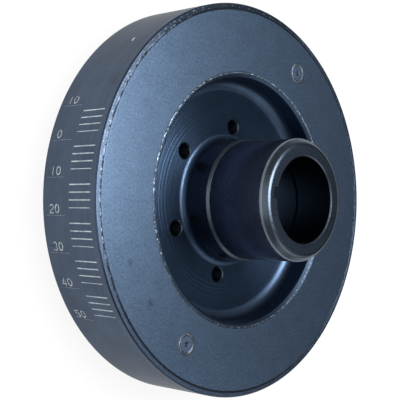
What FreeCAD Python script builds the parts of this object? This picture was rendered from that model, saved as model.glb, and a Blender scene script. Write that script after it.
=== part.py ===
import FreeCAD, Part
import math
import os

# Viscous harmonic balancer for the nose of a car engine's crankshaft, in millimetres.
# The crankshaft's axis is +Z and points to the engine. The origin is the centre of the
# flat front face, which the balancer stands on, and +X runs through the middle of the keyway.

# Body
rim_radius = 92.075
body_thickness = 35.0
rim_wall = 5.6
front_wall = 5.0
edge_break = 0.5

# Ring chamber, and the wall between it and the recess round the hub
chamber_width = 24.0
inner_wall = 4.8

# Recess round the hub, on the engine side
recess_depth = 13.0
recess_fillet = 5.0
recess_mouth_bevel = 1.5
recess_mouth_height = 1.2

# Pulley register, the shallow pocket in the front face
register_inset = 3.7
register_depth = 8.0
register_bevel = 1.0

# Bore and keyway, which take the crankshaft's nose
bore_radius = 19.5
bore_bevel = 1.0
relief_depth = 0.6
relief_width = 3.6
relief_from_end = 16.8
keyway_width = 4.76
keyway_depth = 2.7
washer_seat_width = 5.9
washer_seat_depth = 2.5

# Hub, from its root in the recess to the lead that enters the oil seal
hub_projection = 35.0
hub_wall = 8.2
shoulder_height = 2.0
shoulder_step = 1.1
shoulder_bevel = 1.0
hub_fillet = 2.8
lead_length = 3.0
lead_width = 2.8
lead_round = 1.6

# Six threaded holes for the pulley bolts: tapping size and countersinks only
bolt_count = 6
bolt_land = 7.0
thread_radius = 3.3
thread_bevel = 0.8

# Cover plate and the two welded seams that seal it into the housing
cover_thickness = 4.0
cover_clearance = 0.05
outer_seam_inset = 2.6
inner_seam_inset = 2.2
seam_bevel = 0.55
weld_hairline = 0.02
weld_sink = 0.1

# Two fill plugs, opposite each other, set in stepped holes in the cover plate and welded round
plug_count = 2
plug_first_angle = 67.0
plug_seam_distance = 14.5
plug_head_radius = 4.3
plug_head_depth = 1.6
plug_shank_radius = 3.0
plug_fit = 0.03
plug_bevel = 0.8
plug_weld_rise = 0.35
plug_weld_crown = 0.4
plug_dimple_radius = 1.5
plug_dimple_depth = 0.6

# Inertia ring, which floats in a film of silicone fluid
film_gap = 0.5
ring_edge_bevel = 1.0
ring_bore_gap = 2.1

# Radial bearing, a split band fitted into the ring's bore
band_clearance = 0.1
band_inset = 1.0
band_seat = 0.02
band_split = 2.0

# Thrust pads, pressed into pockets in both faces of the ring
pad_count = 6
pad_radius = 5.0
pad_depth = 3.0
pad_fit = 0.03
pad_lift = 0.2
pad_rear_turn = 30.0

# Sizes that follow from those above
chamber_outer_radius = rim_radius - rim_wall
chamber_inner_radius = chamber_outer_radius - chamber_width
chamber_middle_radius = (chamber_outer_radius + chamber_inner_radius) / 2
recess_radius = chamber_inner_radius - inner_wall
register_radius = recess_radius - register_inset
recess_floor = body_thickness - recess_depth
cover_seat = body_thickness - cover_thickness
outer_seam_radius = rim_radius - outer_seam_inset
inner_seam_radius = recess_radius + inner_seam_inset
washer_seat = register_depth + washer_seat_depth
hub_end = body_thickness + hub_projection
shoulder_top = body_thickness + shoulder_height
seal_radius = bore_radius + hub_wall
hub_radius = seal_radius + shoulder_step
seal_land_end = hub_end - lead_length
bolt_circle_radius = hub_radius + bolt_land
plug_circle_radius = outer_seam_radius - plug_seam_distance
plug_head_bottom = body_thickness - plug_head_depth
ring_bottom = front_wall + film_gap
ring_top = cover_seat - film_gap
ring_outer_radius = chamber_outer_radius - film_gap
ring_inner_radius = chamber_inner_radius + ring_bore_gap
band_inner_radius = chamber_inner_radius + band_clearance
band_outer_radius = ring_inner_radius - band_seat

UP = FreeCAD.Vector(0, 0, 1)


def half_plane(radius, height):
    return FreeCAD.Vector(radius, 0, height)


def rounded(before, corner, after, radius):
    """Start, middle and end of the arc that rounds one corner of a profile."""
    back = (before - corner).normalize()
    ahead = (after - corner).normalize()
    half_angle = back.getAngle(ahead) / 2
    reach = radius / math.tan(half_angle)
    depth = radius / math.sin(half_angle) - radius
    middle = corner + (back + ahead).normalize() * depth
    return corner + back * reach, middle, corner + ahead * reach


def turned(profile):
    """Turn a closed profile about Z. Each corner is (radius, height) or adds a rounding."""
    corners = [half_plane(corner[0], corner[1]) for corner in profile]
    roundings = [corner[2] if len(corner) > 2 else 0.0 for corner in profile]
    count = len(corners)
    edges = []
    arcs = {}
    for i in range(count):
        if roundings[i] > 0:
            arcs[i] = rounded(corners[i - 1], corners[i], corners[(i + 1) % count], roundings[i])
    for i in range(count):
        following = (i + 1) % count
        start = arcs[i][2] if i in arcs else corners[i]
        end = arcs[following][0] if following in arcs else corners[following]
        edges.append(Part.LineSegment(start, end).toShape())
        if following in arcs:
            edges.append(Part.Arc(*arcs[following]).toShape())
    face = Part.Face(Part.Wire(edges))
    return face.revolve(FreeCAD.Vector(0, 0, 0), UP, 360)


def at_angle(shape, radius, angle):
    """Move a shape out along +X, then turn it about Z."""
    placed = shape.copy()
    placed.translate(FreeCAD.Vector(radius, 0, 0))
    placed.rotate(FreeCAD.Vector(0, 0, 0), UP, angle)
    return placed


def spaced(shape, radius, count, first_angle):
    """Copies of a shape, evenly spaced on a circle about Z."""
    return [at_angle(shape, radius, first_angle + 360.0 * i / count) for i in range(count)]


def housing_profile():
    """Half section of the housing and its hub, from the washer seat outwards and round."""
    front = [
        (bore_radius + bore_bevel, washer_seat),
        (bore_radius + washer_seat_width, washer_seat),
        (bore_radius + washer_seat_width, register_depth),
        (register_radius, register_depth),
        (register_radius, register_bevel),
        (register_radius + register_bevel, 0),
    ]
    rim = [
        (rim_radius - edge_break, 0),
        (rim_radius, edge_break),
        (rim_radius, body_thickness - edge_break),
        (rim_radius - edge_break, body_thickness),
    ]
    chamber = [
        (outer_seam_radius + seam_bevel, body_thickness),
        (outer_seam_radius, body_thickness - seam_bevel),
        (outer_seam_radius, cover_seat),
        (chamber_outer_radius, cover_seat),
        (chamber_outer_radius, front_wall),
        (chamber_inner_radius, front_wall),
        (chamber_inner_radius, cover_seat),
        (inner_seam_radius, cover_seat),
        (inner_seam_radius, body_thickness - seam_bevel),
        (inner_seam_radius - seam_bevel, body_thickness),
    ]
    recess = [
        (recess_radius + recess_mouth_bevel, body_thickness),
        (recess_radius, body_thickness - recess_mouth_height),
        (recess_radius, recess_floor, recess_fillet),
        (hub_radius, recess_floor, hub_fillet),
    ]
    hub = [
        (hub_radius, shoulder_top - shoulder_bevel),
        (hub_radius - shoulder_bevel, shoulder_top),
        (seal_radius, shoulder_top),
        (seal_radius, seal_land_end),
        (seal_radius - lead_width, hub_end, lead_round),
        (bore_radius + bore_bevel, hub_end),
    ]
    relief_top = hub_end - relief_from_end
    bore = [
        (bore_radius, hub_end - bore_bevel),
        (bore_radius, relief_top),
        (bore_radius + relief_depth, relief_top),
        (bore_radius + relief_depth, relief_top - relief_width),
        (bore_radius, relief_top - relief_width),
        (bore_radius, washer_seat + bore_bevel),
    ]
    return front + rim + chamber + recess + hub + bore


def keyway_slot():
    """Keyway along the whole bore, centred on +X."""
    length = hub_end - washer_seat
    corner = FreeCAD.Vector(0, -keyway_width / 2, washer_seat)
    return Part.makeBox(bore_radius + keyway_depth, keyway_width, length, corner)


def threaded_hole():
    """One through hole of tapping size in the web, countersunk at both mouths."""
    web = recess_floor - register_depth
    hole = Part.makeCylinder(thread_radius, web, half_plane(0, register_depth))
    wide = thread_radius + thread_bevel
    top = Part.makeCone(
        thread_radius, wide, thread_bevel, half_plane(0, recess_floor - thread_bevel)
    )
    bottom = Part.makeCone(wide, thread_radius, thread_bevel, half_plane(0, register_depth))
    return hole.fuse([top, bottom])


def housing():
    """Front wall, rim, web and hub, turned from one piece of steel."""
    holes = spaced(threaded_hole(), bolt_circle_radius, bolt_count, 180.0 / bolt_count)
    return turned(housing_profile()).cut([keyway_slot()] + holes)


def plug_hole():
    """Stepped hole through the cover plate for a fill plug, bevelled for its weld."""
    shank = plug_shank_radius + plug_fit
    head = plug_head_radius + plug_fit
    return turned([
        (0, cover_seat),
        (shank, cover_seat),
        (shank, plug_head_bottom),
        (head, plug_head_bottom),
        (head, body_thickness - plug_bevel),
        (head + plug_bevel, body_thickness),
        (0, body_thickness),
    ])


def cover_plate():
    """Annular plate that closes the ring chamber, flush with the rim."""
    outer = outer_seam_radius - cover_clearance
    inner = inner_seam_radius + cover_clearance
    plate = turned([
        (inner, cover_seat),
        (outer, cover_seat),
        (outer, body_thickness - seam_bevel),
        (outer - seam_bevel, body_thickness),
        (inner + seam_bevel, body_thickness),
        (inner, body_thickness - seam_bevel),
    ])
    return plate.cut(spaced(plug_hole(), plug_circle_radius, plug_count, plug_first_angle))


def seam_weld(seam_radius):
    """Bead that fills the V between the cover plate and the housing, just under flush."""
    top = body_thickness - weld_sink
    half_width = seam_bevel - weld_sink - weld_hairline
    root = body_thickness - seam_bevel + weld_hairline
    return turned([
        (seam_radius - half_width, top),
        (seam_radius, root),
        (seam_radius + half_width, top),
    ])


def fill_plug():
    """Stepped steel plug with a centre dimple, its head flush with the cover plate."""
    return turned([
        (0, cover_seat),
        (plug_shank_radius, cover_seat),
        (plug_shank_radius, plug_head_bottom),
        (plug_head_radius, plug_head_bottom),
        (plug_head_radius, body_thickness - plug_bevel),
        (plug_head_radius - plug_bevel, body_thickness),
        (plug_dimple_radius, body_thickness),
        (0, body_thickness - plug_dimple_depth),
    ])


def plug_weld():
    """Bead in the V round a plug's head, its crown raised above the cover plate."""
    half_width = plug_bevel - weld_hairline
    root = body_thickness - plug_bevel + weld_hairline
    crown = body_thickness + plug_weld_rise
    return turned([
        (plug_head_radius - half_width, body_thickness),
        (plug_head_radius, root),
        (plug_head_radius + half_width, body_thickness),
        (plug_head_radius + plug_weld_crown, crown),
        (plug_head_radius - plug_weld_crown, crown),
    ])


def pad_pocket(floor, opening):
    """Round pocket for a thrust pad, from its floor out through the ring's face."""
    low = min(floor, opening)
    return Part.makeCylinder(pad_radius + pad_fit, abs(opening - floor), half_plane(0, low))


def inertia_ring():
    """Heavy ring with six pad pockets in each face."""
    blank = turned([
        (ring_inner_radius, ring_bottom),
        (ring_outer_radius - ring_edge_bevel, ring_bottom),
        (ring_outer_radius, ring_bottom + ring_edge_bevel),
        (ring_outer_radius, ring_top - ring_edge_bevel),
        (ring_outer_radius - ring_edge_bevel, ring_top),
        (ring_inner_radius, ring_top),
    ])
    front = pad_pocket(ring_bottom + pad_depth, ring_bottom)
    rear = pad_pocket(ring_top - pad_depth, ring_top)
    pockets = spaced(front, chamber_middle_radius, pad_count, 0)
    pockets += spaced(rear, chamber_middle_radius, pad_count, pad_rear_turn)
    return blank.cut(pockets)


def radial_bearing():
    """Split bronze band that centres the ring on the chamber's inner wall."""
    bottom = ring_bottom + band_inset
    top = ring_top - band_inset
    band = turned([
        (band_inner_radius, bottom),
        (band_outer_radius, bottom),
        (band_outer_radius, top),
        (band_inner_radius, top),
    ])
    corner = FreeCAD.Vector(0, -band_split / 2, bottom)
    split = Part.makeBox(ring_inner_radius, band_split, top - bottom, corner)
    return band.cut(split)


def thrust_pad(seat, face):
    """Round pad from its pocket's floor to just proud of the ring's face."""
    outward = 1 if face > seat else -1
    crown = face + outward * pad_lift
    low = min(seat, crown)
    return Part.makeCylinder(pad_radius, abs(crown - seat), half_plane(0, low))


def build():
    nodes = {
        "housing": housing(),
        "cover_plate": cover_plate(),
        "outer_weld": seam_weld(outer_seam_radius),
        "inner_weld": seam_weld(inner_seam_radius),
        "inertia_ring": inertia_ring(),
        "radial_bearing": radial_bearing(),
    }
    plugs = spaced(fill_plug(), plug_circle_radius, plug_count, plug_first_angle)
    plug_welds = spaced(plug_weld(), plug_circle_radius, plug_count, plug_first_angle)
    for number in range(plug_count):
        nodes["fill_plug_%d" % (number + 1)] = plugs[number]
        nodes["plug_weld_%d" % (number + 1)] = plug_welds[number]
    front_pad = thrust_pad(ring_bottom + pad_depth, ring_bottom)
    rear_pad = thrust_pad(ring_top - pad_depth, ring_top)
    front_pads = spaced(front_pad, chamber_middle_radius, pad_count, 0)
    rear_pads = spaced(rear_pad, chamber_middle_radius, pad_count, pad_rear_turn)
    for number in range(pad_count):
        nodes["front_thrust_pad_%d" % (number + 1)] = front_pads[number]
        nodes["rear_thrust_pad_%d" % (number + 1)] = rear_pads[number]
    return nodes


os.makedirs("parts", exist_ok=True)
for name, shape in build().items():
    shape.exportStep("parts/%s.step" % name)
    print("%-22s valid %s  solids %d  volume %.0f" % (
        name, shape.isValid(), len(shape.Solids), shape.Volume))
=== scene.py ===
import math

import bmesh
import bpy
from mathutils import Matrix, Quaternion, Vector, noise


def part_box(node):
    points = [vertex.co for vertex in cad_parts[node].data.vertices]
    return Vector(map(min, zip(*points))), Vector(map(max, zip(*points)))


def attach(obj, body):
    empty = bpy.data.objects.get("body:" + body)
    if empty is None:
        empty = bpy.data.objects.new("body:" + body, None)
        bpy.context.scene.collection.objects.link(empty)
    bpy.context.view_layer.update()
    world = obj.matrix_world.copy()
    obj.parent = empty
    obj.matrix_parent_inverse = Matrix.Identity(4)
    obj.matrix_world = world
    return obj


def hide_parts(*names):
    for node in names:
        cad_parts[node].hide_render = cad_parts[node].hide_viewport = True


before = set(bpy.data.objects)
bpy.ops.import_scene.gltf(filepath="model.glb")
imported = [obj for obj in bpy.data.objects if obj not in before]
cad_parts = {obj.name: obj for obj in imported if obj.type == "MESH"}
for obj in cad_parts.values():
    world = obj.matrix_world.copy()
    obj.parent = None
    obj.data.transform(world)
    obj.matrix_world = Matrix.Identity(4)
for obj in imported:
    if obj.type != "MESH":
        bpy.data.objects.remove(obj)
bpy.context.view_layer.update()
mm = 0.001


# Studio
# The balancer stands on its front face on a white table. The camera looks down at it and is
# turned on its side, so that the crankshaft's axis runs across the picture.
body_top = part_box("cover_plate")[1].z
hub_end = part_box("housing")[1].z
rim_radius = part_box("housing")[1].x

camera_azimuth = math.radians(9.04)
camera_elevation = math.radians(43.63)
camera_distance = 424.7 * mm
looked_at = Vector((30.96 * mm, 4.88 * mm, body_top))
focal_length = 85.46
sensor_width = 36

level = Vector((math.cos(camera_azimuth), math.sin(camera_azimuth), 0))
sideways = Vector((-math.sin(camera_azimuth), math.cos(camera_azimuth), 0))
backward = level * math.cos(camera_elevation) + Vector((0, 0, math.sin(camera_elevation)))
towards_engine = sideways.cross(-backward)

camera = bpy.data.objects.new("studio_camera", bpy.data.cameras.new("studio_camera"))
camera.data.lens = focal_length
camera.data.sensor_width = sensor_width
camera.data.clip_start = 10 * mm
axes = Matrix((towards_engine, -sideways, backward)).transposed()
camera.matrix_world = Matrix.Translation(looked_at + backward * camera_distance) @ axes.to_4x4()
bpy.context.scene.collection.objects.link(camera)
bpy.context.scene.camera = camera
bpy.context.scene.view_settings.view_transform = "Standard"


def add_node(tree, kind, inputs=(), **settings):
    """Adds one node with its settings. Its inputs are values, or outputs of other nodes."""
    made = tree.nodes.new(kind)
    for key, value in settings.items():
        setattr(made, key, value)
    for key, value in dict(inputs).items():
        if isinstance(value, bpy.types.NodeSocket):
            tree.links.new(value, made.inputs[key])
        else:
            made.inputs[key].default_value = value
    return made


def white_table():
    """White laminate, which shows as plain white and still takes the balancer's soft shadow."""
    material = bpy.data.materials.new("white_table")
    material.use_nodes = True
    tree = material.node_tree
    tree.nodes.clear()
    lit = add_node(tree, "ShaderNodeBsdfDiffuse", {"Color": (0.8, 0.8, 0.8, 1)})
    plain = add_node(tree, "ShaderNodeEmission", {"Color": (1, 1, 1, 1), "Strength": 1.0})
    ray = add_node(tree, "ShaderNodeLightPath")
    seen = add_node(tree, "ShaderNodeMath", {
        0: ray.outputs["Is Camera Ray"], 1: ray.outputs["Is Glossy Ray"]}, operation="MAXIMUM")
    share = add_node(tree, "ShaderNodeMath", {0: seen.outputs[0], 1: 0.9}, operation="MULTIPLY")
    both = add_node(tree, "ShaderNodeMixShader", {
        0: share.outputs[0], 1: lit.outputs[0], 2: plain.outputs[0]})
    add_node(tree, "ShaderNodeOutputMaterial", {"Surface": both.outputs[0]})
    return material


table_half = 2.5
table_drop = 0.05 * mm
table_mesh = bpy.data.meshes.new("table")
table_mesh.from_pydata(
    [(x * table_half, y * table_half, -table_drop) for x, y in ((-1, -1), (1, -1), (1, 1), (-1, 1))],
    [], [(0, 1, 2, 3)])
table = bpy.data.objects.new("table", table_mesh)
table_mesh.materials.append(white_table())
bpy.context.scene.collection.objects.link(table)

room = bpy.data.worlds.new("room")
room.use_nodes = True
bpy.context.scene.world = room
room.node_tree.nodes.clear()
ray = add_node(room.node_tree, "ShaderNodeLightPath")
walls = add_node(room.node_tree, "ShaderNodeBackground", {"Color": (0.9, 0.95, 1, 1), "Strength": 0.13})
paper = add_node(room.node_tree, "ShaderNodeBackground", {"Color": (1, 1, 1, 1), "Strength": 1.0})
either = add_node(room.node_tree, "ShaderNodeMixShader", {
    0: ray.outputs["Is Camera Ray"], 1: walls.outputs[0], 2: paper.outputs[0]})
add_node(room.node_tree, "ShaderNodeOutputWorld", {"Surface": either.outputs[0]})


def softbox(name, azimuth, elevation, distance, width, height, roll, radiance):
    """A diffused white lamp that looks at the balancer. Angles are in degrees, sizes in metres."""
    lamp = bpy.data.lights.new(name, "AREA")
    lamp.shape = "RECTANGLE"
    lamp.size = width
    lamp.size_y = height
    lamp.energy = radiance * math.pi * width * height
    made = bpy.data.objects.new(name, lamp)
    a, e = math.radians(azimuth), math.radians(elevation)
    out = Vector((math.cos(a) * math.cos(e), math.sin(a) * math.cos(e), math.sin(e)))
    target = Vector((0, 0, body_top))
    made.location = target + out * distance
    made.rotation_mode = "QUATERNION"
    made.rotation_quaternion = out.to_track_quat("Z", "Y") @ Quaternion((0, 0, 1), math.radians(roll))
    made.visible_camera = False
    bpy.context.scene.collection.objects.link(made)


# The main one hangs over the balancer. The hub's round end, the recess's fillet and the hollows
# of the turning mirror it brightly, and the cover plate mirrors its near edge, which fades from
# light to dark across the face. Two weak ones are mirrored by the dark steel: the far one by the
# recess, and the fill beside the camera by the lead.
softbox("overhead_softbox", azimuth=237.6, elevation=76.9, distance=0.97,
        width=0.562, height=0.612, roll=-26.4, radiance=15.8)
softbox("far_softbox", azimuth=128, elevation=36, distance=1.1,
        width=1.1, height=0.8, roll=0, radiance=0.85)
softbox("fill_softbox", azimuth=9, elevation=36, distance=1.1,
        width=1.1, height=0.9, roll=0, radiance=0.7)


# Housing
# One turning of steel: front wall, rim, web and hub. It is black oxide over fine lathe marks,
# bored and keyed for the crankshaft, and drilled and tapped for the pulley's bolts.
rim_wall = 5.6 * mm
front_wall = 5.0 * mm
inner_wall = 4.8 * mm
chamber_width = 24.0 * mm
chamber_round = 1.2 * mm
chamber_outer = rim_radius - rim_wall
chamber_inner = chamber_outer - chamber_width
cover_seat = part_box("cover_plate")[0].z

# Recess round the hub, whose mouth is bevelled in two slopes that meet at the knee
recess_depth = 13.0 * mm
recess_fillet = 5.0 * mm
recess_bevel_width = 1.4 * mm
recess_bevel_depth = 1.6 * mm
knee_width = 0.3 * mm
knee_depth = 0.9 * mm
recess_radius = chamber_inner - inner_wall
recess_floor = body_top - recess_depth

# Pocket for the pulley, with the seat of the crankshaft bolt's washer in its floor
register_ledge = 3.7 * mm
register_bevel = 1.0 * mm
register_round = 1.0 * mm
register_radius = recess_radius - register_ledge
register_floor = 8.0 * mm
washer_margin = 5.9 * mm
washer_step = 2.5 * mm
washer_round = 0.5 * mm

# Rim's flat, which falls a little outwards, and the weld grooves in the two seams
outer_land = 2.6 * mm
inner_land = 2.2 * mm
land_fall = 0.05 * mm
edge_bevel = 0.5 * mm
rim_round = 0.1 * mm
seam_groove = 0.55 * mm
outer_seam = rim_radius - outer_land
inner_seam = recess_radius + inner_land
land_top = body_top - land_fall

# Hub with its shoulder, seal land, lead and relieved bore
bore_radius = 19.5 * mm
bore_foot_bevel = 1.0 * mm
mouth_bevel = 0.5 * mm
washer_radius = bore_radius + washer_margin
washer_seat = register_floor + washer_step
hub_wall = 8.2 * mm
hub_fillet = 2.8 * mm
shoulder_step = 1.1 * mm
shoulder_rise = 2.3 * mm
shoulder_bevel = 1.05 * mm
shoulder_round = 0.05 * mm
lead_length = 3.0 * mm
lead_taper = 2.4 * mm
lead_round = 1.8 * mm
end_round = 2.6 * mm
relief_from_end = 16.8 * mm
relief_width = 3.6 * mm
relief_depth = 0.6 * mm
seal_radius = bore_radius + hub_wall
hub_radius = seal_radius + shoulder_step
shoulder_top = body_top + shoulder_rise
lead_start = hub_end - lead_length
lead_radius = seal_radius - lead_taper
relief_top = hub_end - relief_from_end
relief_bottom = relief_top - relief_width
relief_radius = bore_radius + relief_depth

# Roundings of tool marks and edges, and the fineness of the turned mesh
tool_round = 0.15 * mm
edge_round = 0.3 * mm
corner_round = 0.03 * mm
lathe_steps = 480
arc_step = math.radians(10)
crease_angle = math.radians(32)


def rounded_profile(corners, hold=0.08 * mm):
    """Points of a section whose corners are (radius, height, rounding).

    Each flat gets a point close to both its ends, which keeps its shading flat.
    """
    arcs = []
    for i, (radius, height, rounding) in enumerate(corners):
        corner = Vector((radius, height))
        back = (Vector(corners[i - 1][:2]) - corner).normalized()
        ahead = (Vector(corners[(i + 1) % len(corners)][:2]) - corner).normalized()
        if rounding == 0:
            arcs.append([corner])
            continue
        half_angle = back.angle(ahead) / 2
        start = corner + back * rounding / math.tan(half_angle)
        centre = corner + (back + ahead).normalized() * rounding / math.sin(half_angle)
        turn = math.pi - 2 * half_angle
        if back.cross(ahead) > 0:
            turn = -turn
        steps = max(2, math.ceil(abs(turn) / arc_step))
        arm = start - centre
        arcs.append([centre + Matrix.Rotation(turn * k / steps, 2) @ arm for k in range(steps + 1)])
    points = []
    for i, arc in enumerate(arcs):
        points += arc
        end, start = arc[-1], arcs[(i + 1) % len(arcs)][0]
        if (start - end).length > 4 * hold:
            ahead = (start - end).normalized()
            points += [end + ahead * hold, start - ahead * hold]
    return points


def turned(points, steps=lathe_steps):
    """Mesh of a closed section turned about Z."""
    mesh = bmesh.new()
    rings = []
    for radius, height in points:
        if radius < 1e-9:
            rings.append([mesh.verts.new((0, 0, height))] * steps)
            continue
        turns = [2 * math.pi * k / steps for k in range(steps)]
        circle = [(radius * math.cos(a), radius * math.sin(a), height) for a in turns]
        rings.append([mesh.verts.new(point) for point in circle])
    for ring, following in zip(rings, rings[1:] + rings[:1]):
        for k in range(steps):
            ahead = (k + 1) % steps
            loop = [ring[k], ring[ahead], following[ahead], following[k]]
            loop = [v for i, v in enumerate(loop) if v not in loop[:i]]
            if len(loop) > 2:
                mesh.faces.new(loop)
    bmesh.ops.recalc_face_normals(mesh, faces=mesh.faces)
    return mesh


def as_piece(name, mesh, materials):
    """Object of a mesh, with its creases where two faces turn sharply."""
    for face in mesh.faces:
        face.smooth = True
    for edge in mesh.edges:
        edge.smooth = len(edge.link_faces) != 2 or edge.calc_face_angle(0) < crease_angle
    data = bpy.data.meshes.new(name)
    mesh.to_mesh(data)
    mesh.free()
    for material in materials:
        data.materials.append(material)
    piece = bpy.data.objects.new(name, data)
    bpy.context.scene.collection.objects.link(piece)
    return piece


def cut_away(mesh, cutter):
    """The mesh less the cutter, both closed."""
    block = as_piece("block", mesh, [])
    tool = as_piece("tool", cutter, [])
    cut = block.modifiers.new("cut", "BOOLEAN")
    cut.operation = "DIFFERENCE"
    cut.solver = "MANIFOLD"
    cut.object = tool
    left = bmesh.new()
    left.from_object(block, bpy.context.evaluated_depsgraph_get())
    for used in (block, tool):
        data = used.data
        bpy.data.objects.remove(used)
        bpy.data.meshes.remove(data)
    return left


housing_section = [
    (bore_radius + bore_foot_bevel, washer_seat, tool_round),
    (washer_radius, washer_seat, washer_round),
    (washer_radius, register_floor, tool_round),
    (register_radius, register_floor, register_round),
    (register_radius, register_bevel, tool_round),
    (register_radius + register_bevel, 0, tool_round),
    (rim_radius - edge_bevel, 0, rim_round),
    (rim_radius, edge_bevel, rim_round),
    (rim_radius, land_top - edge_bevel, rim_round),
    (rim_radius - edge_bevel, land_top, rim_round),
    (outer_seam + seam_groove, body_top, tool_round),
    (outer_seam, body_top - seam_groove, 0),
    (outer_seam, cover_seat, 0),
    (chamber_outer, cover_seat, 0),
    (chamber_outer, front_wall, chamber_round),
    (chamber_inner, front_wall, chamber_round),
    (chamber_inner, cover_seat, 0),
    (inner_seam, cover_seat, 0),
    (inner_seam, body_top - seam_groove, 0),
    (inner_seam - seam_groove, body_top, corner_round),
    (recess_radius + recess_bevel_width, body_top, corner_round),
    (recess_radius + knee_width, body_top - knee_depth, edge_round),
    (recess_radius, body_top - recess_bevel_depth, edge_round),
    (recess_radius, recess_floor, recess_fillet),
    (hub_radius, recess_floor, hub_fillet),
    (hub_radius, shoulder_top - shoulder_bevel, edge_round),
    (hub_radius - shoulder_bevel, shoulder_top, shoulder_round),
    (seal_radius, shoulder_top, corner_round),
    (seal_radius, lead_start, lead_round),
    (lead_radius, hub_end, end_round),
    (bore_radius + mouth_bevel, hub_end, tool_round),
    (bore_radius, hub_end - mouth_bevel, tool_round),
    (bore_radius, relief_top, 0),
    (relief_radius, relief_top, 0),
    (relief_radius, relief_bottom, 0),
    (bore_radius, relief_bottom, 0),
    (bore_radius, washer_seat + bore_foot_bevel, tool_round),
]

# Keyway: a slot broached along the whole bore, at +X
keyway_half_width = 2.38 * mm
keyway_depth = 2.7 * mm
keyway_reach = bore_radius + keyway_depth
keyway_margin = 1.0 * mm


def keyway_cutter():
    """Cutter for the keyway: a block from the axis out, longer than the bore."""
    mesh = bmesh.new()
    bmesh.ops.create_cube(mesh, size=1.0)
    low, high = washer_seat - keyway_margin, hub_end + keyway_margin
    bmesh.ops.scale(mesh, verts=mesh.verts, vec=(keyway_reach, 2 * keyway_half_width, high - low))
    bmesh.ops.translate(mesh, verts=mesh.verts, vec=(keyway_reach / 2, 0, (low + high) / 2))
    return mesh


# Tapped holes: 5/16 in with 18 threads to the inch, countersunk at both mouths. The keyway points
# midway between two of them.
bolt_from_hub = 7.0 * mm
bolt_circle = hub_radius + bolt_from_hub
bolt_count = 6
bolt_angles = [math.pi * (2 * k + 1) / bolt_count for k in range(bolt_count)]
thread_pitch = 25.4 / 18 * mm
thread_minor = 3.3 * mm
thread_depth = 0.62 * mm
countersink_radius = 4.1 * mm
countersink_depth = 0.9 * mm
thread_rows_per_pitch = 8
thread_steps = 40


def tapped_hole(angle):
    """Cutter for one hole: a tube whose wall follows the screw thread."""
    mesh = bmesh.new()
    centre = Vector((math.cos(angle), math.sin(angle), 0)) * bolt_circle
    margin = 0.5 * mm
    low, high = register_floor - margin, recess_floor + margin
    rows = math.ceil((high - low) / thread_pitch * thread_rows_per_pitch)
    rings = []
    for row in range(rows + 1):
        height = low + (high - low) * row / rows
        from_mouth = min(height - register_floor, recess_floor - height)
        cone = countersink_radius - from_mouth
        ring = []
        for k in range(thread_steps):
            turn = 2 * math.pi * k / thread_steps
            phase = (height / thread_pitch - k / thread_steps) % 1
            groove = thread_depth * (1 - abs(2 * phase - 1))
            radius = max(thread_minor + groove, min(cone, countersink_radius + margin))
            wall = Vector((radius * math.cos(turn), radius * math.sin(turn), height))
            ring.append(mesh.verts.new(centre + wall))
        rings.append(ring)
    for ring, following in zip(rings, rings[1:]):
        for k in range(thread_steps):
            ahead = (k + 1) % thread_steps
            mesh.faces.new((ring[k], ring[ahead], following[ahead], following[k]))
    mesh.faces.new(rings[0])
    mesh.faces.new(rings[-1])
    bmesh.ops.recalc_face_normals(mesh, faces=mesh.faces)
    return mesh


# Timing scale: laser-etched lines every 2 degrees, and a number and a longer, finer line at each
# ten. The line before each ten is a little narrower. The zero's angle is from the keyway.
scale_zero = math.radians(-7.0)
scale_start = -10
scale_end = 50
scale_step = 2
scale_numbers = {-10: "10", 0: "0", 10: "10", 20: "20", 30: "30", 40: "40", 50: "50"}
etch_depth = 0.04 * mm
etch_over = 0.3 * mm
line_from = 18.0 * mm
line_to = 31.3 * mm
line_width = 0.5 * mm
weak_line_width = 0.34 * mm
ten_line_from = 2.7 * mm
ten_line_to = 15.0 * mm
ten_line_width = 0.24 * mm
digit_from = 4.9 * mm
digit_height = 3.6 * mm
digit_width = 2.8 * mm
digit_pitch = 3.7 * mm
digit_stroke = 0.48 * mm
digit_lift = 1.0 * mm

# A knock has left one bright nick on the rim, 33 degrees before the zero
nick = [(scale_zero - math.radians(32.8), 22.3 * mm), (scale_zero - math.radians(34.2), 21.6 * mm)]
nick_width = 1.0 * mm


def bow(x, y, half_width, half_height, start, end, steps=12):
    """Points of an elliptic bow of a digit, in shares of its width and height."""
    turns = [math.radians(start + (end - start) * k / steps) for k in range(steps + 1)]
    return [(x + half_width * math.cos(a), y + half_height * math.sin(a)) for a in turns]


# Strokes of each digit, which may come close but never cross
digit_strokes = {
    "0": [bow(0.5, 0.5, 0.44, 0.48, 90, 420, 24)],
    "1": [[(0.5, 0.98), (0.5, 0.5), (0.5, 0.0)]],
    "2": [bow(0.5, 0.7, 0.42, 0.28, 165, -40) + [(0.16, 0.14)], [(0.02, 0.0), (0.98, 0.0)]],
    "3": [bow(0.46, 0.74, 0.38, 0.25, 150, -60), bow(0.46, 0.25, 0.44, 0.26, 62, -150)],
    "4": [[(0.6, 0.98), (0.34, 0.66), (0.08, 0.38)], [(0.0, 0.24), (0.98, 0.24)],
          [(0.72, 0.1), (0.72, -0.04)], [(0.72, 0.38), (0.72, 0.74)]],
    "5": [[(0.3, 0.98), (0.92, 0.98)], [(0.12, 0.98), (0.12, 0.6)],
          bow(0.44, 0.3, 0.46, 0.3, 112, -150)],
}


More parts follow.
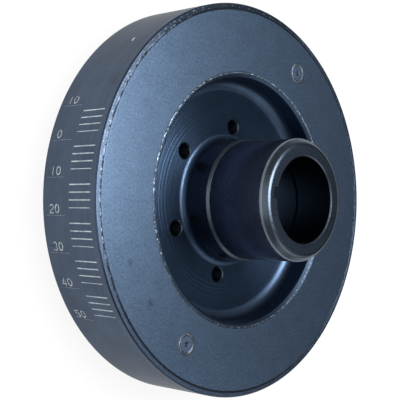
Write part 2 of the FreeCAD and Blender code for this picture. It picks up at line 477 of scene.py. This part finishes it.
def etched_stroke(mesh, points, width):
    """Adds the cutter of one stroke, whose points are (angle, height) on the rim."""
    flat = [Vector((angle * rim_radius, height)) for angle, height in points]
    sections = []
    for k, point in enumerate(flat):
        before = (point - flat[k - 1]).normalized() if k else (flat[1] - point).normalized()
        after = (flat[k + 1] - point).normalized() if k + 1 < len(flat) else before
        along = (before + after).normalized()
        across = Vector((-along.y, along.x)) * width / 2 / max(0.5, along.dot(before))
        if k == 0:
            point = point - along * width / 4
        if k + 1 == len(flat):
            point = point + along * width / 4
        section = []
        for radius in (rim_radius - etch_depth, rim_radius + etch_over):
            for side in (across, -across):
                angle = (point.x + side.x) / rim_radius
                section.append(mesh.verts.new((
                    radius * math.cos(angle), radius * math.sin(angle), point.y + side.y)))
        sections.append([section[0], section[1], section[3], section[2]])
    for one, following in zip(sections, sections[1:]):
        for k in range(4):
            mesh.faces.new((one[k], one[(k + 1) % 4], following[(k + 1) % 4], following[k]))
    mesh.faces.new(sections[0])
    mesh.faces.new(sections[-1])


def timing_scale():
    """Cutter for the whole scale. A number stands just above its line, towards the zero."""
    mesh = bmesh.new()
    for degree in range(scale_start, scale_end + 1, scale_step):
        angle = scale_zero + math.radians(degree)
        if degree in scale_numbers:
            etched_stroke(mesh, [(angle, ten_line_from), (angle, ten_line_to)], ten_line_width)
        else:
            width = weak_line_width if (degree + scale_step) % 10 == 0 else line_width
            etched_stroke(mesh, [(angle, line_from), (angle, line_to)], width)
    for degree, number in scale_numbers.items():
        foot = scale_zero + math.radians(degree) - digit_lift / rim_radius
        for place, digit in enumerate(number):
            left = digit_from + place * digit_pitch
            for stroke in digit_strokes[digit]:
                points = [(foot - y * digit_height / rim_radius, left + x * digit_width)
                          for x, y in stroke]
                etched_stroke(mesh, points, digit_stroke)
    etched_stroke(mesh, nick, nick_width)
    bmesh.ops.recalc_face_normals(mesh, faces=mesh.faces)
    return mesh


def linear(hex_colour):
    """Linear colour of an sRGB hex colour."""
    shares = [int(hex_colour[i:i + 2], 16) / 255 for i in (0, 2, 4)]
    return [s / 12.92 if s <= 0.04045 else ((s + 0.055) / 1.055) ** 2.4 for s in shares] + [1.0]


def turned_steel(name, colour, light_colour, roughness, mark_spacing, mark_depth, coarse_from=0,
                 spread=0):
    """Steel turned on a lathe and finished dark.

    The marks run round the axis. Real ones are 0.1 to 0.2 mm apart, too fine to show, so they
    are drawn as wide as mark_spacing. They reach their full depth at the radius coarse_from, and
    draw a highlight out across them by the share spread. Blotches 14 mm across come from the
    oxide bath, and a grain of 0.5 mm dulls it unevenly.
    """
    material = bpy.data.materials.new(name)
    material.use_nodes = True
    tree = material.node_tree
    tree.nodes.clear()
    place = add_node(tree, "ShaderNodeTexCoord").outputs["Object"]
    flat = add_node(tree, "ShaderNodeVectorMath", {0: place, 1: (1, 1, 0)}, operation="MULTIPLY")
    radius = add_node(tree, "ShaderNodeVectorMath", {0: flat.outputs[0]}, operation="LENGTH")
    height = add_node(tree, "ShaderNodeSeparateXYZ", {0: place})
    section = add_node(tree, "ShaderNodeCombineXYZ", {
        "X": radius.outputs["Value"], "Y": height.outputs["Z"]})
    marks = add_node(tree, "ShaderNodeTexNoise", {
        "Vector": section.outputs[0], "Scale": 1 / mark_spacing, "Detail": 1.5, "Roughness": 0.5},
        noise_dimensions="2D")
    blotches = add_node(tree, "ShaderNodeTexNoise", {
        "Vector": place, "Scale": 1 / (14 * mm), "Detail": 4.0, "Roughness": 0.6})
    grain = add_node(tree, "ShaderNodeTexNoise", {
        "Vector": place, "Scale": 1 / (0.5 * mm), "Detail": 2.0, "Roughness": 0.6})
    tone = add_node(tree, "ShaderNodeMapRange", {
        "Value": blotches.outputs[0], "From Min": 0.35, "From Max": 0.7})
    base = add_node(tree, "ShaderNodeMixRGB", {
        "Fac": tone.outputs[0], "Color1": linear(colour), "Color2": linear(light_colour)})
    streak = add_node(tree, "ShaderNodeMapRange", {
        "Value": marks.outputs[0], "From Min": 0.3, "From Max": 0.7, "To Min": 0.92, "To Max": 1.08})
    streaked = add_node(tree, "ShaderNodeVectorMath", {
        0: base.outputs[0], "Scale": streak.outputs[0]}, operation="SCALE")
    dull = add_node(tree, "ShaderNodeMapRange", {
        "Value": grain.outputs[0], "From Min": 0.3, "From Max": 0.7,
        "To Min": roughness - 0.05, "To Max": roughness + 0.07})
    depth = add_node(tree, "ShaderNodeMapRange", {
        "Value": radius.outputs["Value"], "From Min": coarse_from - 4 * mm, "From Max": coarse_from,
        "To Min": 0.15})
    relief = add_node(tree, "ShaderNodeMath", {
        0: marks.outputs[0], 1: depth.outputs[0]}, operation="MULTIPLY")
    bump = add_node(tree, "ShaderNodeBump", {
        "Height": relief.outputs[0], "Distance": mark_depth, "Strength": 1.0})
    along = add_node(tree, "ShaderNodeTangent", direction_type="RADIAL", axis="Z")
    shader = add_node(tree, "ShaderNodeBsdfPrincipled", {
        "Base Color": streaked.outputs[0], "Roughness": dull.outputs[0], "Metallic": 1.0,
        "Specular Tint": (0.7, 0.7, 0.7, 1), "Anisotropic": spread, "Anisotropic Rotation": 0.25,
        "Tangent": along.outputs[0], "Normal": bump.outputs[0]})
    add_node(tree, "ShaderNodeOutputMaterial", {"Surface": shader.outputs[0]})
    return material


def etched_steel(name, weak_colour, clean_colour):
    """Laser-etched steel: the oxide is burnt off, which leaves a pale frosted line.

    It has weak spots 3 mm across.
    """
    material = bpy.data.materials.new(name)
    material.use_nodes = True
    tree = material.node_tree
    tree.nodes.clear()
    place = add_node(tree, "ShaderNodeTexCoord").outputs["Object"]
    spots = add_node(tree, "ShaderNodeTexNoise", {
        "Vector": place, "Scale": 1 / (3 * mm), "Detail": 3.0, "Roughness": 0.6})
    weak = add_node(tree, "ShaderNodeMapRange", {
        "Value": spots.outputs[0], "From Min": 0.35, "From Max": 0.62})
    base = add_node(tree, "ShaderNodeMixRGB", {
        "Fac": weak.outputs[0], "Color1": linear(weak_colour), "Color2": linear(clean_colour)})
    shader = add_node(tree, "ShaderNodeBsdfPrincipled", {
        "Base Color": base.outputs[0], "Roughness": 0.6, "Metallic": 0.2})
    add_node(tree, "ShaderNodeOutputMaterial", {"Surface": shader.outputs[0]})
    return material


# Colours of what lies on the blued flats, and how far the land's weld scale and bare specks reach
stain_colour = "2a3644"
weld_scale_colour = "28323d"
bare_colour = "76828f"
scale_reach = 38 * mm
scale_fades_by = 62 * mm
speck_reach = 110 * mm
specks_thin_by = 135 * mm


def blued_steel(name, dark_colour, light_colour, contrast, smudges=(), scaled_place=None):
    """Steel faced, ground and blued: a cold blue satin with fine grain, clouds and a few stains.

    The grain is 1 mm across, the clouds are 9 mm and the stains 22 mm. About scaled_place, the
    scale of the weld beside it darkens it, and bare specks of 1.4 mm reach further out.
    """
    material = bpy.data.materials.new(name)
    material.use_nodes = True
    tree = material.node_tree
    tree.nodes.clear()
    place = add_node(tree, "ShaderNodeTexCoord").outputs["Object"]
    clouds = add_node(tree, "ShaderNodeTexNoise", {
        "Vector": place, "Scale": 1 / (9 * mm), "Detail": 6.0, "Roughness": 0.62})
    grain = add_node(tree, "ShaderNodeTexNoise", {
        "Vector": place, "Scale": 1 / (1.0 * mm), "Detail": 4.0, "Roughness": 0.75})
    stains = add_node(tree, "ShaderNodeTexNoise", {
        "Vector": place, "Scale": 1 / (22 * mm), "Detail": 5.0, "Roughness": 0.7})
    cloudy = add_node(tree, "ShaderNodeMapRange", {
        "Value": clouds.outputs[0], "From Min": 0.3, "From Max": 0.75})
    base = add_node(tree, "ShaderNodeMixRGB", {
        "Fac": cloudy.outputs[0], "Color1": linear(dark_colour), "Color2": linear(light_colour)})
    stained = add_node(tree, "ShaderNodeMapRange", {
        "Value": stains.outputs[0], "From Min": 0.64, "From Max": 0.74, "To Max": 0.35})
    dark_spots = stained.outputs[0]
    for spot, size in smudges:
        away = add_node(tree, "ShaderNodeVectorMath", {0: place, 1: spot}, operation="DISTANCE")
        ragged = add_node(tree, "ShaderNodeMath", {
            0: grain.outputs[0], 1: size, 2: away.outputs["Value"]}, operation="MULTIPLY_ADD")
        smudge = add_node(tree, "ShaderNodeMapRange", {
            "Value": ragged.outputs[0], "From Min": 1.3 * size, "From Max": 0.5 * size, "To Max": 0.5})
        dark_spots = add_node(tree, "ShaderNodeMath", {
            0: dark_spots, 1: smudge.outputs[0]}, operation="MAXIMUM").outputs[0]
    marked = add_node(tree, "ShaderNodeMixRGB", {
        "Fac": dark_spots, "Color1": base.outputs[0], "Color2": linear(stain_colour)})
    if scaled_place:
        away = add_node(tree, "ShaderNodeVectorMath", {0: place, 1: scaled_place}, operation="DISTANCE")
        scaled = add_node(tree, "ShaderNodeMapRange", {
            "Value": away.outputs["Value"], "From Min": scale_fades_by, "From Max": scale_reach,
            "To Max": 0.75})
        marked = add_node(tree, "ShaderNodeMixRGB", {
            "Fac": scaled.outputs[0], "Color1": marked.outputs[0], "Color2": linear(weld_scale_colour)})
        specks = add_node(tree, "ShaderNodeTexNoise", {
            "Vector": place, "Scale": 1 / (1.4 * mm), "Detail": 1.0, "Roughness": 0.5})
        fewer = add_node(tree, "ShaderNodeMapRange", {
            "Value": away.outputs["Value"], "From Min": speck_reach, "From Max": specks_thin_by,
            "To Max": 0.3})
        left = add_node(tree, "ShaderNodeMath", {
            0: specks.outputs[0], 1: fewer.outputs[0]}, operation="SUBTRACT")
        bare = add_node(tree, "ShaderNodeMapRange", {
            "Value": left.outputs[0], "From Min": 0.6, "From Max": 0.68})
        marked = add_node(tree, "ShaderNodeMixRGB", {
            "Fac": bare.outputs[0], "Color1": marked.outputs[0], "Color2": linear(bare_colour)})
    speckle = add_node(tree, "ShaderNodeMapRange", {
        "Value": grain.outputs[0], "From Min": 0.3, "From Max": 0.7,
        "To Min": 1 - contrast, "To Max": 1 + contrast})
    speckled = add_node(tree, "ShaderNodeVectorMath", {
        0: marked.outputs[0], "Scale": speckle.outputs[0]}, operation="SCALE")
    dull = add_node(tree, "ShaderNodeMapRange", {
        "Value": grain.outputs[0], "From Min": 0.3, "From Max": 0.7, "To Min": 0.27, "To Max": 0.35})
    bump = add_node(tree, "ShaderNodeBump", {
        "Height": grain.outputs[0], "Distance": 0.01 * mm, "Strength": 1.0})
    shader = add_node(tree, "ShaderNodeBsdfPrincipled", {
        "Base Color": speckled.outputs[0], "Roughness": dull.outputs[0], "Metallic": 1.0,
        "Normal": bump.outputs[0]})
    add_node(tree, "ShaderNodeOutputMaterial", {"Surface": shader.outputs[0]})
    return material


# The rim's flat is ground flush with the cover plate and blued with it. Weld scale has left it
# nearly black on the side before the timing scale.
blued_land = blued_steel(
    "blued_ground_land", "4c596c", "526076", contrast=0.4,
    scaled_place=(23.8 * mm, -89 * mm, body_top))
# Black oxide on a turned rim: a neutral slate with a faint sheen and hardly any marks.
oxide_rim = turned_steel(
    "black_oxide_turned_rim", "495566", "515e70", roughness=0.38,
    mark_spacing=1.4 * mm, mark_depth=0.0007 * mm)
# The same bath on the recess's wall and fillet, and on its floor, where it looks blue-black over
# coarse facing marks.
oxide_recess = turned_steel(
    "black_oxide_bored_recess", "3f4f64", "45566d", roughness=0.34,
    mark_spacing=0.8 * mm, mark_depth=0.03 * mm, spread=0.55)
oxide_floor = turned_steel(
    "black_oxide_faced_floor", "33445a", "394b63", roughness=0.3,
    mark_spacing=1.2 * mm, mark_depth=0.13 * mm, coarse_from=40 * mm, spread=0.62)
# The seal land is polished by the seal. The hub's end is turned finely. Both look nearly neutral.
seal_land = turned_steel(
    "polished_seal_land", "545663", "5c5e6b", roughness=0.3,
    mark_spacing=0.5 * mm, mark_depth=0.002 * mm)
oxide_hub = turned_steel(
    "black_oxide_turned_hub", "3c4653", "424d5b", roughness=0.28,
    mark_spacing=0.5 * mm, mark_depth=0.004 * mm)
# On the lead's edge, which seals and hands rub, the oxide is painted worn through to grey steel. This
# is partly wear and partly a painted highlight along the edge.
rubbed_edge_and_highlight = turned_steel(
    "worn_black_oxide_and_painted_highlight", "7d8894", "8d98a4", roughness=0.36,
    mark_spacing=0.5 * mm, mark_depth=0.004 * mm, spread=0.7)
# On the lead's cone, the bore's mouth, the shoulder and in the countersinks it is painted lighter. This
# is partly thinned oxide and partly a painted highlight on these bevels.
thin_oxide_and_highlight = turned_steel(
    "thin_black_oxide_and_painted_highlight", "5a6570", "646f7b", roughness=0.32,
    mark_spacing=0.5 * mm, mark_depth=0.004 * mm)
# The bore is bored smooth and oiled. The threads are painted nearly black, as painted shade deep in the
# tapped holes over their dark oxide.
oiled_bore = turned_steel(
    "oiled_black_bore", "222d3b", "263343", roughness=0.34,
    mark_spacing=0.5 * mm, mark_depth=0.004 * mm)
thread_painted_shade = turned_steel(
    "black_thread_painted_shade", "161c24", "1d242e", roughness=0.5,
    mark_spacing=0.5 * mm, mark_depth=0.004 * mm)
# The lines are etched strongly, the ones at each ten so lightly that they fade in and out.
etched_strong = etched_steel("laser_etched_steel", "a3aeb9", "dbe2e8")
etched_faint = etched_steel("laser_etched_steel_faint", "5a687a", "94a2b0")

# Finishes in the order of the housing's material slots
housing_finishes = [
    oxide_rim, oxide_recess, etched_strong, etched_faint, rubbed_edge_and_highlight, blued_land, thread_painted_shade,
    oxide_hub, thin_oxide_and_highlight, oiled_bore, oxide_floor, seal_land]

# How much a face looks up: 0 on an upright wall and 1 on a flat
nearly_upright = 0.1
nearly_flat = 0.9
mouth_ends = 0.95
lead_begins = 0.03
lead_rounds_off = 0.6
lead_ends = 0.93

lead_inside = bore_radius + 1.5 * mm
edge_margin = 2 * mm
hold_off = 0.02 * mm


def housing_finish(middle, up):
    """Finish of one face of the housing, from its middle and how much it looks up."""
    radius = middle.xy.length
    height = middle.z
    in_line = rim_radius - etch_depth - tool_round < radius < rim_radius - etch_depth / 2
    if in_line and edge_margin < height < body_top - edge_margin:
        from_ten = (math.degrees(math.atan2(middle.y, middle.x) - scale_zero) + 5) % 10 - 5
        on_ten_line = abs(from_ten) < math.degrees(0.7 * ten_line_width / rim_radius)
        return etched_faint if on_ten_line else etched_strong
    # In a tapped hole the threads are painted nearly black as painted shade. The countersinks are
    # painted lighter, partly as a painted highlight.
    in_web = register_floor + hold_off < height < recess_floor - hold_off
    if in_web and abs(radius - bolt_circle) < countersink_radius:
        return thin_oxide_and_highlight if height > recess_floor - countersink_depth else thread_painted_shade
    if radius > outer_seam and height > land_top - edge_bevel and up < nearly_flat:
        return oxide_recess
    if radius > recess_radius and height > land_top - tool_round and up > nearly_flat:
        return blued_land
    # The shoulder's bevel, the bore's mouth and the lead are painted lighter, partly as painted
    # highlights.
    if radius < hub_radius and abs(height - shoulder_top + shoulder_bevel / 2) < shoulder_bevel:
        return thin_oxide_and_highlight
    at_mouth = radius < bore_radius + mouth_bevel and height > hub_end - mouth_bevel
    if at_mouth and nearly_upright < up < mouth_ends:
        return thin_oxide_and_highlight
    on_lead = radius > lead_inside and height > lead_start - lead_round / 2
    if on_lead and lead_begins < up < lead_ends:
        return rubbed_edge_and_highlight if up < lead_rounds_off else thin_oxide_and_highlight
    in_slot = radius < keyway_reach and abs(middle.y) < keyway_half_width
    if height < hub_end - mouth_bevel and (radius < relief_radius + hold_off or in_slot):
        return oiled_bore
    if radius < hub_radius + hold_off and height > recess_floor + hub_fillet:
        return oxide_hub if up > nearly_upright else seal_land
    if radius > hub_radius and abs(height - recess_floor) < hold_off:
        return oxide_floor
    if radius < inner_seam and height > register_floor - tool_round:
        return oxide_recess
    return oxide_rim


housing_mesh = turned(rounded_profile(housing_section))
housing_mesh = cut_away(housing_mesh, keyway_cutter())
for angle in bolt_angles:
    housing_mesh = cut_away(housing_mesh, tapped_hole(angle))
housing_mesh = cut_away(housing_mesh, timing_scale())
housing_mesh.normal_update()
for face in housing_mesh.faces:
    finish = housing_finish(face.calc_center_median(), face.normal.z)
    face.material_index = housing_finishes.index(finish)
housing = as_piece("housing_turning", housing_mesh, housing_finishes)
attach(housing, "housing")
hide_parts("housing")


# Cover plate
# A flat steel ring, pressed into the back of the housing and welded along both its edges. It
# closes the chamber that the inertia ring turns in, and holds the two plugs of the fluid's holes.
cover_clearance = 0.05 * mm
plug_angles = [math.radians(67.0), math.radians(247.0)]
plug_from_seam = 14.5 * mm
plug_circle = outer_seam - plug_from_seam
plug_radius = 4.3 * mm
plug_groove = 0.8 * mm
plug_fit = 0.03 * mm
plug_head_depth = 1.6 * mm
plug_shank = 3.0 * mm
plug_hole_steps = 64


def moved_out(mesh, angle):
    """Moves a mesh from the axis to the circle of the plugs."""
    out = Vector((math.cos(angle), math.sin(angle), 0)) * plug_circle
    bmesh.ops.translate(mesh, verts=mesh.verts, vec=out)
    return mesh


def plug_hole(angle):
    """Cutter for the stepped hole of one plug, with the groove of its weld."""
    margin = 1.0 * mm
    head = plug_radius + plug_fit
    return moved_out(turned([
        (0, cover_seat - margin),
        (plug_shank + plug_fit, cover_seat - margin),
        (plug_shank + plug_fit, body_top - plug_head_depth),
        (head, body_top - plug_head_depth),
        (head, body_top - plug_groove),
        (head + plug_groove + margin, body_top + margin),
        (0, body_top + margin),
    ], plug_hole_steps), angle)


cover_mesh = turned(rounded_profile([
    (inner_seam + cover_clearance, cover_seat, 0),
    (outer_seam - cover_clearance, cover_seat, 0),
    (outer_seam - cover_clearance, body_top - seam_groove, 0),
    (outer_seam - cover_clearance - seam_groove, body_top, tool_round),
    (inner_seam + cover_clearance + seam_groove, body_top, tool_round),
    (inner_seam + cover_clearance, body_top - seam_groove, 0),
]))
for angle in plug_angles:
    cover_mesh = cut_away(cover_mesh, plug_hole(angle))
# Two oily smudges lie 23 and 38 degrees round from the first plug
smudges = [(Vector((54.2 * mm, 53.0 * mm, body_top)), 3.4 * mm),
           (Vector((68.3 * mm, 37.1 * mm, body_top)), 2.4 * mm)]
# Ground and blued steel: a clear cold blue satin, lighter than the rim's flat
blued_face = blued_steel("blued_ground_plate", "576a82", "5d728c", contrast=0.3, smudges=smudges)
cover = as_piece("cover_ring", cover_mesh, [blued_face])
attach(cover, "housing")
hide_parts("cover_plate")


# Welds
# A narrow beam weld fills the groove at each edge of the cover plate and stays just under the
# face. A bead is run round each plug and stands a little proud. Neither is ground after.
weld_sink = 0.12 * mm
weld_hairline = 0.02 * mm
seam_margin = 0.05 * mm
seam_half_width = seam_groove - weld_hairline - seam_margin
ripple_pitch = 1.7 * mm
plug_bead_pitch = 1.5 * mm
plug_bead_crown = 0.2 * mm
plug_bead_roughen = 0.06 * mm
bead_points = 8
steps_per_ripple = 5
# Ripples and pits as shares of a bead's roughness, and the pits' sizes in ripple pitches
ripple_share = 0.35
pit_share = 1.2
fine_pit_share = 0.6
coarse_pit = 1.3
fine_pit = 0.45


def weld_bead(radius, half_width, root, top, crown, roughen, pitch):
    """Mesh of a bead round the axis: a V below, and a rippled crown above."""
    steps = math.ceil(2 * math.pi * radius / (pitch / steps_per_ripple))
    ripples = round(2 * math.pi * radius / pitch)
    mesh = bmesh.new()
    rings = []
    for k in range(steps):
        angle = 2 * math.pi * k / steps
        outward = Vector((math.cos(angle), math.sin(angle), 0))
        ring = [mesh.verts.new(outward * radius + Vector((0, 0, root)))]
        for i in range(bead_points + 1):
            across = 2 * i / bead_points - 1
            place = outward * (radius + across * half_width)
            bulge = 1 - across * across
            ripple = abs(math.sin(ripples * angle / 2 + across * across))
            coarse_pits = noise.noise(place / (pitch * coarse_pit))
            fine_pits = noise.noise(place / (pitch * fine_pit))
            pits = coarse_pits + fine_pit_share * fine_pits
            rise = bulge * (crown + roughen * (ripple_share * ripple + pit_share * pits))
            ring.append(mesh.verts.new(place + Vector((0, 0, top + rise))))
        rings.append(ring)
    for ring, following in zip(rings, rings[1:] + rings[:1]):
        for i in range(len(ring)):
            after = (i + 1) % len(ring)
            mesh.faces.new((ring[i], ring[after], following[after], following[i]))
    bmesh.ops.recalc_face_normals(mesh, faces=mesh.faces)
    return mesh


# Bright flecks lie thickest within this reach of the place given to a weld
fleck_and_glint_reach = 50 * mm
fleck_and_glint_fades_by = 100 * mm


def weld_metal(name, dark, bright, fleck_size, fleck_from, fleck_and_glint_place, roughness=0.4):
    """Weld metal: dark scale, with bright flecks thickest about the given place. The flecks are bare
    metal, and where that place lies on a bead's glinting side they are partly painted highlights.
    """
    material = bpy.data.materials.new(name)
    material.use_nodes = True
    tree = material.node_tree
    tree.nodes.clear()
    place = add_node(tree, "ShaderNodeTexCoord").outputs["Object"]
    flecks = add_node(tree, "ShaderNodeTexNoise", {
        "Vector": place, "Scale": 1 / fleck_size, "Detail": 3.0, "Roughness": 0.75})
    from_fleck_and_glint_place = add_node(tree, "ShaderNodeVectorMath", {0: place, 1: fleck_and_glint_place}, operation="DISTANCE")
    worn = add_node(tree, "ShaderNodeMapRange", {
        "Value": from_fleck_and_glint_place.outputs["Value"], "From Min": fleck_and_glint_reach, "From Max": fleck_and_glint_fades_by,
        "To Max": 0.3})
    left = add_node(tree, "ShaderNodeMath", {
        0: flecks.outputs[0], 1: worn.outputs[0]}, operation="SUBTRACT")
    bare = add_node(tree, "ShaderNodeMapRange", {
        "Value": left.outputs[0], "From Min": fleck_from - 0.05, "From Max": fleck_from + 0.05})
    base = add_node(tree, "ShaderNodeMixRGB", {
        "Fac": bare.outputs[0], "Color1": linear(dark), "Color2": linear(bright)})
    dull = add_node(tree, "ShaderNodeMapRange", {
        "Value": flecks.outputs[0], "From Min": 0.3, "From Max": 0.7,
        "To Min": roughness + 0.1, "To Max": roughness - 0.1})
    bump = add_node(tree, "ShaderNodeBump", {
        "Height": flecks.outputs[0], "Distance": 0.05 * mm, "Strength": 1.0})
    shader = add_node(tree, "ShaderNodeBsdfPrincipled", {
        "Base Color": base.outputs[0], "Roughness": dull.outputs[0], "Metallic": 1.0,
        "Normal": bump.outputs[0]})
    add_node(tree, "ShaderNodeOutputMaterial", {"Surface": shader.outputs[0]})
    return material


# The scale on both seams is nearly black. On the outer seam the bright flecks lie thickest on the side
# towards the camera, about the start of the timing scale, partly as bare metal and partly as painted
# glints. On the inner one there are bright flecks all round.
outer_metal = weld_metal(
    "scaled_outer_weld", "242b34", "5d6978", fleck_size=1.8 * mm, fleck_from=0.52,
    fleck_and_glint_place=(78 * mm, -18 * mm, body_top))
inner_metal = weld_metal(
    "scaled_inner_weld", "2f3844", "6a7684", fleck_size=1.4 * mm, fleck_from=0.45,
    fleck_and_glint_place=(-3 * mm, -10 * mm, body_top))
for node_name, seam, seam_crown, seam_roughen, seam_metal in (
        ("outer_weld", outer_seam, 0.08 * mm, 0.08 * mm, outer_metal),
        ("inner_weld", inner_seam, 0.15 * mm, 0.14 * mm, inner_metal)):
    bead = weld_bead(seam, seam_half_width, body_top - seam_groove + weld_hairline,
                     body_top - weld_sink, seam_crown, seam_roughen, ripple_pitch)
    piece = as_piece(node_name + "_bead", bead, [seam_metal])
    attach(piece, "housing")
    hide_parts(node_name)

# Heat has left the beads round the plugs a dull, even grey
for number, angle in enumerate(plug_angles, start=1):
    bead_place = (plug_circle * math.cos(angle), plug_circle * math.sin(angle), body_top)
    plug_weld_metal = weld_metal(
        "tinted_plug_weld_%d" % number, "3a4148", "545c64", fleck_size=4 * mm, fleck_from=0.5,
        fleck_and_glint_place=bead_place, roughness=0.55)
    bead = moved_out(weld_bead(plug_radius, plug_groove - weld_hairline,
                               body_top - plug_groove + weld_hairline, body_top,
                               plug_bead_crown, plug_bead_roughen, plug_bead_pitch), angle)
    piece = as_piece("plug_weld_bead_%d" % number, bead, [plug_weld_metal])
    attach(piece, "housing")
    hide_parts("plug_weld_%d" % number)


# Fill plugs
# Two stepped steel plugs, set in the cover plate's holes once the chamber is full. Each has the
# centre mark of the tool that turned it.
dimple_radius = 1.2 * mm
dimple_depth = 1.2 * mm
dimple_round = 0.2 * mm
plug_edge_round = 0.1 * mm
plug_steps = 96
# The plugs are blued with the plate. Their turned ends look a little duller than it.
plug_finish = turned_steel(
    "blued_plug_steel", "465469", "4b5b70", roughness=0.42,
    mark_spacing=0.5 * mm, mark_depth=0.004 * mm)
for number, angle in enumerate(plug_angles, start=1):
    plug_mesh = moved_out(turned(rounded_profile([
        (0, cover_seat, 0),
        (plug_shank, cover_seat, 0),
        (plug_shank, body_top - plug_head_depth, 0),
        (plug_radius, body_top - plug_head_depth, 0),
        (plug_radius, body_top - plug_groove, 0),
        (plug_radius - plug_groove, body_top, plug_edge_round),
        (dimple_radius, body_top, dimple_round),
        (0, body_top - dimple_depth, 0),
    ]), plug_steps), angle)
    piece = as_piece("plug_%d" % number, plug_mesh, [plug_finish])
    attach(piece, "housing")
    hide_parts("fill_plug_%d" % number)


# Inertia ring, its bearing band and thrust pads
# A heavy ring of bright turned steel floats in the fluid. A split bronze band centres it, and
# moulded nylon pads keep its faces off the chamber's walls. The housing hides them all.
def dress(node_name, material):
    """Gives a CAD piece its finish, in every slot that it has."""
    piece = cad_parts[node_name]
    piece.data.materials.clear()
    piece.data.materials.append(material)


# The ring is left bright from the lathe. The band's bronze is rolled: a warm, even satin.
bright_steel = turned_steel(
    "bright_turned_steel", "a9abab", "bdbfbe", roughness=0.3,
    mark_spacing=0.8 * mm, mark_depth=0.003 * mm)
bronze = turned_steel(
    "rolled_bearing_bronze", "9c7a4c", "b08a58", roughness=0.34,
    mark_spacing=0.6 * mm, mark_depth=0.002 * mm)
pads_a_side = 6


def moulded_nylon():
    """Natural nylon, moulded: an ivory matt with a soft grain of 0.8 mm."""
    material = bpy.data.materials.new("moulded_nylon")
    material.use_nodes = True
    tree = material.node_tree
    tree.nodes.clear()
    place = add_node(tree, "ShaderNodeTexCoord").outputs["Object"]
    grain = add_node(tree, "ShaderNodeTexNoise", {
        "Vector": place, "Scale": 1 / (0.8 * mm), "Detail": 3.0})
    base = add_node(tree, "ShaderNodeMixRGB", {
        "Fac": grain.outputs[0], "Color1": linear("cfc8b4"), "Color2": linear("e2dcca")})
    bump = add_node(tree, "ShaderNodeBump", {
        "Height": grain.outputs[0], "Distance": 0.02 * mm, "Strength": 1.0})
    shader = add_node(tree, "ShaderNodeBsdfPrincipled", {
        "Base Color": base.outputs[0], "Roughness": 0.5, "Normal": bump.outputs[0]})
    add_node(tree, "ShaderNodeOutputMaterial", {"Surface": shader.outputs[0]})
    return material


nylon = moulded_nylon()
dress("inertia_ring", bright_steel)
dress("radial_bearing", bronze)
for side in ("front", "rear"):
    for number in range(1, pads_a_side + 1):
        dress("%s_thrust_pad_%d" % (side, number), nylon)
